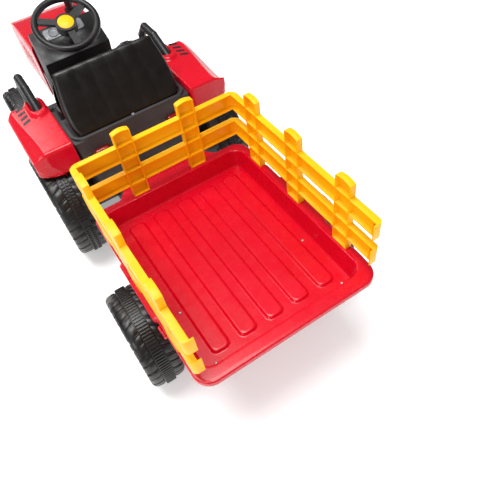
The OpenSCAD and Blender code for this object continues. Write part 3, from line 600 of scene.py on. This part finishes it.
def makeTray():
    s = trayShape
    rib = s["rib"]
    low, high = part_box("trailer_tray")
    half = high.x - s["hook"]
    front = low.y + s["nose"][2]
    rear, rim = high.y, high.z
    postYs = [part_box("fence_left")[1].y - offset for offset in s["postOffsets"]]
    floorHalf = half - s["flange"] - s["draft"]
    floorFront = front + s["flange"] + s["draft"]
    floorRear = rear - s["rearFlange"] - s["draft"]
    corner = s["corner"]
    ribFront, ribRear = floorFront + rib["front"], floorRear - rib["rear"]
    steps = [-1.5, -0.3, 0.8, 2, 3.2, 4.4, 5.6, 7, 10, 14]
    xs, ys = set(), set()
    for i in range(rib["count"]):
        middle = (i - (rib["count"] - 1) / 2) * rib["pitch"]
        for side in (-1, 1):
            xs |= {middle + side * (rib["width"] / 2 - step * mm) for step in steps}
        xs.add(middle)
    noseHalf, noseSlant, noseOut = s["nose"]
    for side in (-1, 1):
        xs |= {side * (noseHalf + noseSlant * t) for t in (0.02, 0.2, 0.4, 0.6, 0.8, 0.98)}
    for step in steps:
        ys |= {ribFront + step * mm, ribRear - step * mm}
    for y in postYs:
        for side in (-1, 1):
            ys |= {y + side * (s["postHalf"] + t * mm) for t in (0, 0.5, 1.2, 1.7)}
    guardFront, guardRear, guardSlant, guardWide = s["guard"]
    for t in (0, 0.25, 0.5, 0.75, 1):
        ys |= {guardFront + t * guardSlant, guardRear - t * guardSlant}
    y = ribFront + 26 * mm
    while y < ribRear - 16 * mm:
        ys.add(y)
        y += 24 * mm

    def thinned(values, start, end):
        kept = [start]
        for value in sorted(values):
            if value > kept[-1] + 0.35 * mm and value < end - 0.35 * mm:
                kept.append(value)
        return kept + [end]

    # a line of stations: a round corner, the values between, a round corner
    def stations(values):
        steps = s["cornerSteps"]
        return ([(-1, 1 - t / steps, None) for t in range(steps)]
                + [(0, 0, value) for value in values]
                + [(1, (t + 1) / steps, None) for t in range(steps)])

    xLine = stations(thinned({x for x in xs if abs(x) < floorHalf - corner},
                             -floorHalf + corner, floorHalf - corner))
    yLine = stations(thinned(ys, floorFront + corner, floorRear - corner))

    def ribHeight(x, y):
        best = -1
        for i in range(rib["count"]):
            middle = (i - (rib["count"] - 1) / 2) * rib["pitch"]
            dx = abs(x - middle) - (rib["width"] / 2 - rib["corner"])
            dy = abs(y - (ribFront + ribRear) / 2) - ((ribRear - ribFront) / 2 - rib["corner"])
            inside = rib["corner"] - math.hypot(max(dx, 0), max(dy, 0)) - min(max(dx, dy), 0)
            best = max(best, inside)
        return rib["rise"] * smooth(best / rib["slope"])

    floorZ = rim - s["depth"]
    points = []
    border = {}
    for i, (sx, a, x) in enumerate(xLine):
        for j, (sy, b, y) in enumerate(yLine):
            if sx and sy:
                u, v = a * math.sqrt(1 - b * b / 2), b * math.sqrt(1 - a * a / 2)
            else:
                u, v = a, b
            px = x if not sx else sx * (floorHalf - corner + u * corner)
            py = y if not sy else (floorFront + corner - v * corner if sy < 0
                                   else floorRear - corner + v * corner)
            if i in (0, len(xLine) - 1) or j in (0, len(yLine) - 1):
                border[(i, j)] = (sx, sy, u, v, x, y)
            points.append((px, py, floorZ + ribHeight(px, py)))
    rows, columns = len(xLine), len(yLine)
    faces = gridFaces(rows, columns)
    loop = ([(i, 0) for i in range(rows)] + [(rows - 1, j) for j in range(1, columns)]
            + [(i, columns - 1) for i in range(rows - 2, -1, -1)]
            + [(0, j) for j in range(columns - 2, 0, -1)])

    def ring(halfX, y0, y1, radius, z, flange):
        # one ring of points on a rounded rectangle, in step with the floor's border
        made = []
        for key in loop:
            sx, sy, u, v, x, y = border[key]
            px = sx * (halfX - radius + u * radius) if sx else x * (halfX - radius) \
                / (floorHalf - corner)
            if not sx and abs(x) < noseHalf + noseSlant and sy < 0:
                px = x
            if sy:
                py = y0 + radius - v * radius if sy < 0 else y1 - radius + v * radius
            else:
                py = y if y0 + radius < y < y1 - radius else min(max(y, y0 + radius), y1 - radius)
            pz = z
            if flange:
                if sy < 0:
                    py -= flange * noseOut * smooth((noseHalf + noseSlant - abs(px)) / noseSlant)
                away = min(abs(py - post) for post in postYs)
                if sx and not sy:
                    pz += s["seatRise"] * smooth((away - s["postHalf"]) / (1.7 * mm))
                    px += sx * flange * guardWide * min(smooth((py - guardFront) / guardSlant),
                                                        smooth((guardRear - py) / guardSlant))
            made.append((px, py, pz))
        return made

    wallHalf = half - s["flange"]
    wallFront, wallRear = front + s["flange"], rear - s["rearFlange"]
    rings = []
    for t, up in ((0.25, 0.6), (0.55, 2.2), (0.8, 4.6), (0.95, 7.6)):
        grow = t * 3.2 * mm
        rings.append(ring(floorHalf + grow, floorFront - grow, floorRear + grow, corner + grow,
                          floorZ + up * mm, 0))
    for t in (0.35, 0.65, 0.93):
        grow = 3.2 * mm + (s["draft"] - 3.2 * mm) * t
        height = 7.6 * mm + (s["depth"] - 9.6 * mm) * t
        rings.append(ring(floorHalf + grow, floorFront - grow, floorRear + grow, corner + grow,
                          floorZ + height, 0))
    for out, down in ((0.2, 1.1), (1.0, 0.35), (2.2, 0)):
        rings.append(ring(wallHalf + out * mm, wallFront - out * mm, wallRear + out * mm,
                          27 * mm, rim - down * mm, 0.0))
    for out in (4.0, 9.0, 14.0):
        share = out * mm / s["flange"]
        rings.append(ring(wallHalf + out * mm, wallFront - out * mm,
                          wallRear + share * s["rearFlange"], 29 * mm, rim, share))
    for back, down in ((2.4, 0.1), (1.2, 0.6), (0.4, 1.5), (0, 3.0), (0, 7.0), (0, 12.0)):
        rings.append(ring(half - back * mm, front + back * mm, rear - back * mm,
                          s["rimCorner"] - back * mm, rim - down * mm, 1.0))
    index = [i * columns + j for i, j in loop]
    for made in rings:
        start = len(points)
        points += made
        following = list(range(start, start + len(made)))
        count = len(loop)
        faces += [(index[n], index[(n + 1) % count], following[(n + 1) % count], following[n])
                  for n in range(count)]
        index = following
    piece = meshPiece("tray_moulding", points, faces, "redGloss", 30, outward=False)
    # an early face of the grid lies on the floor
    walled(piece, lambda grid: grid[len(grid) // 40], s["skin"], 30)
    attach(piece, "trailer_tray")

    for side, name in ((1, "left"), (-1, "right")):
        hook = trayHook("tray_hook_" + name, side * half, s["hookY"], rim)
        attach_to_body(hook, bodyOf["trailer_tray"])


# a moulded hook under the rim: two cheeks, a bar between them and a knob in front
def trayHook(name, x, y, rim):
    side = 1 if x > 0 else -1
    stations = [(-13, -5.5, 3.2, 4.4), (-11, -7.5, 4.2, 7.0), (-8, -9.5, 3.4, 5.6),
                (0, -13.5, 2.6, 4.0), (8, -13.5, 2.8, 4.6), (11, -11.5, 3.6, 6.0),
                (13, -9.0, 2.4, 4.0)]
    ringCount = 10
    points = []
    for along, down, wide, tall in stations:
        for n in range(ringCount):
            angle = 2 * math.pi * n / ringCount
            points.append((x + side * (2.2 + wide * math.cos(angle)) * mm, y + along * mm,
                           rim + (down + tall * math.sin(angle)) * mm))
    faces = gridFaces(len(stations), ringCount, closeColumns=True)
    faces += [tuple(range(ringCount)), tuple(range(len(points) - ringCount, len(points)))]
    return rounded(meshPiece(name, points, faces, "redGloss"))


makeTray()
print("tray made")


# ---- seat

seatShape = {
    "half": 128 * mm,
    "pleatPitch": 38 * mm,
    "pleatRest": 0.35,        # the share of a pleat's height that lies in the plain surface
    "pleatDepth": 1.5 * mm,
    "frontPleat": 1.1 * mm,
    "columns": 113,
    "edge": 12 * mm,
    # side profile from the pan's front edge over the cushion, up the back and down behind it
    "profile": [(-233, 241), (-236, 250), (-231, 260), (-220, 264.5), (-200, 265), (-160, 260),
                (-125, 258), (-104, 262), (-90, 272), (-81, 292), (-74, 325), (-68, 360),
                (-61, 395), (-55, 425), (-51, 438), (-45.5, 444.5), (-39, 444.5), (-33.5, 438),
                (-27, 428), (-14, 407), (0, 384), (14, 361), (26, 342), (34, 330), (36, 326),
                (35, 322), (-20, 322), (-60, 322), (-61, 300), (-61, 241), (-140, 241)],
}


def makeSeat():
    s = seatShape
    profile = s["profile"]
    count = len(profile)
    columns = s["columns"]
    points = []
    for i in range(columns):
        t = -1 + 2 * i / (columns - 1)
        side = math.copysign(1 - (1 - abs(t)) ** 1.35, t)
        near = max(0.0, (abs(side) - 0.86) / 0.14)
        inset = 1 - math.sqrt(max(0.0, 1 - near * near))
        pleat = abs(math.cos(math.pi * (side * s["half"] / s["pleatPitch"] + 0.5)))
        pleat -= s["pleatRest"]
        for k, (y, z) in enumerate(profile):
            before, after = profile[k - 1], profile[(k + 1) % count]
            along = Vector((after[0] - before[0], after[1] - before[1])).normalized()
            outward = Vector((-along.y, along.x))
            behind = smooth((z - 318) / 20) * smooth((y + 44) / 14)
            ahead = smooth((z - 285) / 30) * smooth((-50 - y) / 6) * (1 - smooth((z - 420) / 15))
            cushion = smooth((y + 232) / 20) * smooth((-92 - y) / 22) * (1 - smooth((z - 268) / 6))
            push = (behind * pleat * s["pleatDepth"] / mm
                    + (ahead + cushion) * pleat * s["frontPleat"] / mm)
            push = push * (1 - near) - inset * s["edge"] / mm * (0.9 if z > 322.5 else 0.5)
            spread = s["half"] * (1.0 + 0.055 * smooth((z - 326) / 18)
                                  * (1 - smooth((z - 362) / 80)))
            spread *= 1 - 0.045 * smooth((z - 395) / 50)
            points.append((side * spread, (y + outward.x * push) * mm, (z + outward.y * push) * mm))
    faces = gridFaces(columns, count, closeColumns=True)
    faces += [tuple(range(count)), tuple(range((columns - 1) * count, columns * count))]
    piece = meshPiece("seat_moulding", points, faces, "seatBlack", 50)
    rounded(piece, 60)
    attach(piece, "seat")


makeSeat()
print("seat made")


# ---- fenders

fenderShape = {
    "inner": 150 * mm, "outer": 246 * mm, "tilt": math.tan(math.radians(54)), "skin": 3 * mm,
    "fold": (229 * mm, 213 * mm),             # where the top folds down, in front and behind
    "foldSpread": 7 * mm,                     # how softly it folds
    "roomShare": 2.4, "rearEase": 0.55,       # how the roll eases off over the wheel and behind
    "front": -152 * mm, "rear": 57 * mm, "top": 338 * mm, "step": 2.4 * mm,
    "edgeIn": 3.2 * mm, "edgeOut": 4.5 * mm,  # radii of the inner and outer edge
    "lobeX": 174 * mm, "lobeRise": 8 * mm, "lobeSlope": 9 * mm, "arch": 150 * mm,
    "lobe": (-134 * mm, 22 * mm, 56 * mm),    # middle, half width, half length
    "pocket": (-131 * mm, 14.5 * mm, 33 * mm), "pocketDepth": 15 * mm,
    "pocketSlope": 5 * mm,
    "foot": (276 * mm, 322 * mm, 36 * mm),    # rear wall's foot, where it is full width, slant
}


# corners as (y, z, radius) in metres; round ones become curves, long stretches are divided
def roundedPath(corners, step):
    path = []
    count = len(corners)
    for k, (y, z, radius) in enumerate(corners):
        here = Vector((y, z))
        if radius == 0 or k in (0, count - 1):
            path.append(here)
            continue
        before, after = Vector(corners[k - 1][:2]) - here, Vector(corners[k + 1][:2]) - here
        a, b = before.normalized(), after.normalized()
        reach = radius / math.tan(a.angle(b) / 2)
        start, end = here + a * reach, here + b * reach
        for n in range(7):
            t = n / 6
            path.append((1 - t) ** 2 * start + 2 * t * (1 - t) * here + t * t * end)
    fine = [path[0]]
    for spot in path[1:]:
        span = spot - fine[-1]
        parts = max(1, int(span.length / step))
        start = fine[-1]
        fine += [start + span * n / parts for n in range(1, parts + 1)]
    return fine


# how far inside a slot with round ends the point is, below zero when it is outside
def pillDistance(u, v, halfWidth, halfLength):
    along = max(0.0, abs(v) - (halfLength - halfWidth))
    return halfWidth - math.hypot(u, along)


def makeFender():
    s = fenderShape
    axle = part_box("rear_wheel_left")
    centre = Vector(((axle[0].y + axle[1].y) / 2, (axle[0].z + axle[1].z) / 2))
    path = roundedPath([(62 * mm, 276 * mm, 0), (s["rear"], s["top"], 9 * mm),
                        (s["front"], s["top"], 26 * mm), (-197 * mm, 300 * mm, 30 * mm),
                        (-208 * mm, 240 * mm, 12 * mm), (-208 * mm, 200 * mm, 0)], s["step"])
    xs = [s["inner"] + t * mm for t in (0, 0.3, 1.0, 2.0, 3.2, 5)]
    x = s["inner"] + 7 * mm
    while x < s["outer"] - 5 * mm:
        xs.append(x)
        x += 1.75 * mm
    xs += [s["outer"] - t * mm for t in (4, 2.8, 1.6, 0.7, 0.2, 0)]
    points = []
    for k, spot in enumerate(path):
        before, after = path[max(0, k - 1)], path[min(len(path) - 1, k + 1)]
        along = (after - before).normalized()
        outward = Vector((along.y, -along.x))
        towards = (centre - spot).normalized()
        room = (centre - spot).length - s["arch"] - s["skin"]
        foot = centre - towards * s["arch"]
        flat = smooth((outward.y - 0.25) / 0.4)
        rearward = smooth((spot.x - s["front"]) / (s["rear"] - s["front"]))
        fold = s["fold"][0] + (s["fold"][1] - s["fold"][0]) * rearward
        footZ, fullZ, slant = s["foot"]
        narrow = slant * max(0.0, (fullZ - spot.y) / (fullZ - footZ)) ** 2 if spot.x > 0 else 0
        ease = 1 - s["rearEase"] * smooth(outward.x * 1.4)
        reach = s["roomShare"] * room
        row = []
        for x in xs:
            tilt = max(0.0, x - fold)
            roll = s["tilt"] * tilt * tilt / (tilt + s["foldSpread"])
            roll *= reach / (roll + reach) * ease
            pastIn = max(0.0, s["inner"] + s["edgeIn"] - x)
            pastOut = max(0.0, x - (s["outer"] - s["edgeOut"]))
            drop = s["edgeIn"] - math.sqrt(max(0, s["edgeIn"] ** 2 - pastIn ** 2))
            drop += s["edgeOut"] - math.sqrt(max(0, s["edgeOut"] ** 2 - pastOut ** 2))
            rise = 0.0
            if flat > 0:
                lobe = pillDistance(x - s["lobeX"], spot.x - s["lobe"][0], s["lobe"][1] + 2 * mm,
                                    s["lobe"][2] + 2 * mm)
                pocket = pillDistance(x - s["lobeX"], spot.x - s["pocket"][0], s["pocket"][1],
                                      s["pocket"][2])
                rise = s["lobeRise"] * smooth(lobe / s["lobeSlope"])
                rise -= s["pocketDepth"] * smooth((pocket + 1 * mm) / s["pocketSlope"])
            place = spot + outward * (rise * flat - drop) + towards * roll
            share = (x - s["inner"]) / (s["outer"] - s["inner"])
            row.append((x - narrow * share, place.x, place.y))
        firstFoot = [(row[0][0], *(foot * t + Vector(row[0][1:]) * (1 - t))) for t in (1, 0.5)]
        lastFoot = [(row[-1][0], *(foot * t + Vector(row[-1][1:]) * (1 - t))) for t in (0.5, 1)]
        points += firstFoot + row + lastFoot
    columns = len(xs) + 4
    faces = gridFaces(len(path), columns)
    piece = meshPiece("fenderBody", points, faces, "redGloss", 32, outward=False)
    return walled(piece, lambda grid: max(grid, key=lambda f: f.calc_center_median().z),
                  s["skin"], 32)


def mirrored(piece, name):
    other = bpy.data.objects.new(name, piece.data.copy())
    scene.collection.objects.link(other)
    other.data.transform(Matrix.Scale(-1, 4, (1, 0, 0)))
    other.data.flip_normals()
    return other


stripeShape = {"count": 4, "halfLength": 9.5 * mm, "halfWidth": 5 * mm, "pitch": 20 * mm,
               "y": -114 * mm, "x": 210 * mm, "slant": 9 * mm, "thick": 0.3 * mm}


# slanted dark stripes beside the lobe, on the fender's flat top
def makeStripes():
    s = stripeShape
    top = fenderShape["top"]
    points, faces = [], []
    for n in range(s["count"]):
        y = s["y"] + (n - (s["count"] - 1) / 2) * s["pitch"]
        start = len(points)
        for z in (top - 1.2 * mm, top + s["thick"]):
            for u, v in ((-1, -1), (1, -1), (1, 1), (-1, 1)):
                points.append((s["x"] + u * s["halfLength"], y + v * s["halfWidth"]
                               + u * s["slant"] / 2, z))
        faces += [tuple(start + i for i in face) for face in
                  ((3, 2, 1, 0), (4, 5, 6, 7), (0, 1, 5, 4), (1, 2, 6, 5), (2, 3, 7, 6),
                   (3, 0, 4, 7))]
    return meshPiece("fender_stripes_left", points, faces, "stripeBlack")


leftFender = makeFender()
leftFender.name = "fender_left_shell"
rightFender = mirrored(leftFender, "fender_right_shell")
attach(leftFender, "fender_left")
attach(rightFender, "fender_right")
leftStripes = makeStripes()
rightStripes = mirrored(leftStripes, "fender_stripes_right")
for stripes in (leftStripes, rightStripes):
    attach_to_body(stripes, "tractor")
print("fenders made")


# ---- pieces whose edges are rounded from the frame's own solids

softPieces = {
    "fence_left": ("yellowSatin", 0.8, "yellow_plastic"),
    "fence_right": ("yellowSatin", 0.8, "yellow_plastic"),
    "fence_front": ("yellowSatin", 0.8, "yellow_plastic"),
    "hood": ("redGloss", 1.4, "red_plastic"),
    "rear_deck": ("deckGrain", 1.6, "black_plastic"),
    "chassis": ("blackGrain", 1.6, "black_plastic"),
    "footplate_left": ("blackGrain", 1.0, "black_plastic"),
    "footplate_right": ("blackGrain", 1.0, "black_plastic"),
    "front_bumper": ("blackGrain", 2.5, "black_plastic"),
    "dashboard": ("blackGrain", 1.8, "black_plastic"),
    "grille": ("blackGrain", 0.6, "black_plastic"),
    "gauge_panel": ("dialGrey", 0.5, "dial_plate"),
    "battery": ("batteryGrey", 2.0, "battery_grey"),
    "gearbox_left": ("blackGrain", 1.8, "black_plastic"),
    "gearbox_right": ("blackGrain", 1.8, "black_plastic"),
    "tail_lamps": ("lampRed", 1.0, "red_lens"),
    "pedal": ("blackGrain", 0.8, "black_plastic"),
    "trailer_frame": ("blackCoat", 1.0, "black_metal"),
    "hitch_bracket": ("blackCoat", 0.8, "black_metal"),
    "front_axle_beam": ("blackCoat", 1.2, "black_metal"),
    "tie_rod": ("blackCoat", 0.8, "black_metal"),
    "knuckle_left": ("zincSteel", 0.6, "bright_steel"),
    "knuckle_right": ("zincSteel", 0.6, "bright_steel"),
    "rear_axle_nuts": ("zincSteel", 0.5, "bright_steel"),
    "trailer_axle_nuts": ("zincSteel", 0.5, "bright_steel"),
    "front_nut_left": ("zincSteel", 0.5, "bright_steel"),
    "front_nut_right": ("zincSteel", 0.5, "bright_steel"),
}
for node, (look, width, slot) in softPieces.items():
    attach(softened(node, look, width * mm), node)
print("edges rounded")

keptNodes = {
    "steering_wheel": "blackGrain", "steering_bush": "blackGrain", "exhaust_stack": "blackGrain",
    "grab_bar_left": "blackGrain", "grab_bar_right": "blackGrain", "shift_lever": "blackGrain",
    "horn_button": "yellowSatin", "steering_shaft": "zincSteel", "rear_axle": "zincSteel",
    "trailer_axle": "zincSteel", "axle_spacers": "zincSteel", "hitch_pin": "zincSteel",
    "seat_screw": "zincSteel", "tray_screws": "zincSteel", "drawbar": "blackCoat",
    "headlight_bezels": "brightTrim", "headlight_lenses": "lensClear",
}
for node, look in keptNodes.items():
    mesh = nodes[node].data
    mesh.materials.clear()
    mesh.materials.append(looks[look])


# ---- floor, light and camera

def makeFloor():
    size = 6.0
    mesh = bpy.data.meshes.new("floor")
    mesh.from_pydata([(-size, -size, 0), (size, -size, 0), (size, size, 0), (-size, size, 0)], [],
                     [(0, 1, 2, 3)])
    material, tree, shader = newMaterial("paleFloor")
    tone = between(tree, ranged(tree, noise(tree, 3, 2), 0, 1), (0.90, 0.90, 0.90),
                   (0.93, 0.93, 0.93))
    tree.links.new(tone, shader.inputs["Base Color"])
    shader.inputs["Roughness"].default_value = 0.9
    shader.inputs["Specular IOR Level"].default_value = 0.1
    shader.inputs["Emission Color"].default_value = (1, 1, 1, 1)
    shader.inputs["Emission Strength"].default_value = 0.30
    mesh.materials.append(material)
    floor = bpy.data.objects.new("floor", mesh)
    scene.collection.objects.link(floor)


lights = {
    "overhead": {"place": (0.4, 0.1, 3.2), "aim": (0, 0.3, 0), "size": 2.0, "power": 100},
    "behind": {"place": (2.8, 2.0, 1.7), "aim": (0, 0.3, 0.2), "size": 1.2, "power": 29},
    "ahead": {"place": (0.6, -2.6, 2.2), "aim": (0, 0.1, 0.2), "size": 1.2, "power": 16},
}


def aimed(place, aim, roll=0.0):
    turn = (Vector(aim) - Vector(place)).to_track_quat("-Z", "Y").to_matrix().to_4x4()
    return Matrix.Translation(place) @ turn @ Matrix.Rotation(math.radians(roll), 4, "Z")


def makeLights():
    for name, light in lights.items():
        lamp = bpy.data.lights.new(name, "AREA")
        lamp.shape = "DISK"
        lamp.size = light["size"]
        lamp.energy = light["power"]
        piece = bpy.data.objects.new(name, lamp)
        piece.matrix_world = aimed(light["place"], light["aim"])
        scene.collection.objects.link(piece)
    world = bpy.data.worlds.new("studio")
    world.use_nodes = True
    tree = world.node_tree
    # a dim room in the gloss, an even light for the rest
    ray = tree.nodes.new("ShaderNodeLightPath")
    glow = ranged(tree, ray.outputs["Is Glossy Ray"], 0.56, 0.16, 0, 1)
    tree.links.new(glow, tree.nodes["Background"].inputs["Strength"])
    tree.nodes["Background"].inputs["Color"].default_value = (1.0, 1.0, 1.0, 1)
    scene.world = world


cameraView = {"place": (0.2462, 1.0464, 1.0491), "aim": (-0.0449, 0.4535, 0.2060),
              "roll": -8.91, "lens": 37.10}


def makeCamera():
    camera = bpy.data.cameras.new("camera")
    camera.lens = cameraView["lens"]
    camera.sensor_width = 36
    camera.clip_start = 0.05
    piece = bpy.data.objects.new("camera", camera)
    piece.matrix_world = aimed(cameraView["place"], cameraView["aim"], cameraView["roll"])
    scene.collection.objects.link(piece)
    scene.camera = piece


makeFloor()
makeLights()
makeCamera()
scene.view_settings.view_transform = "Standard"
print("stage made")
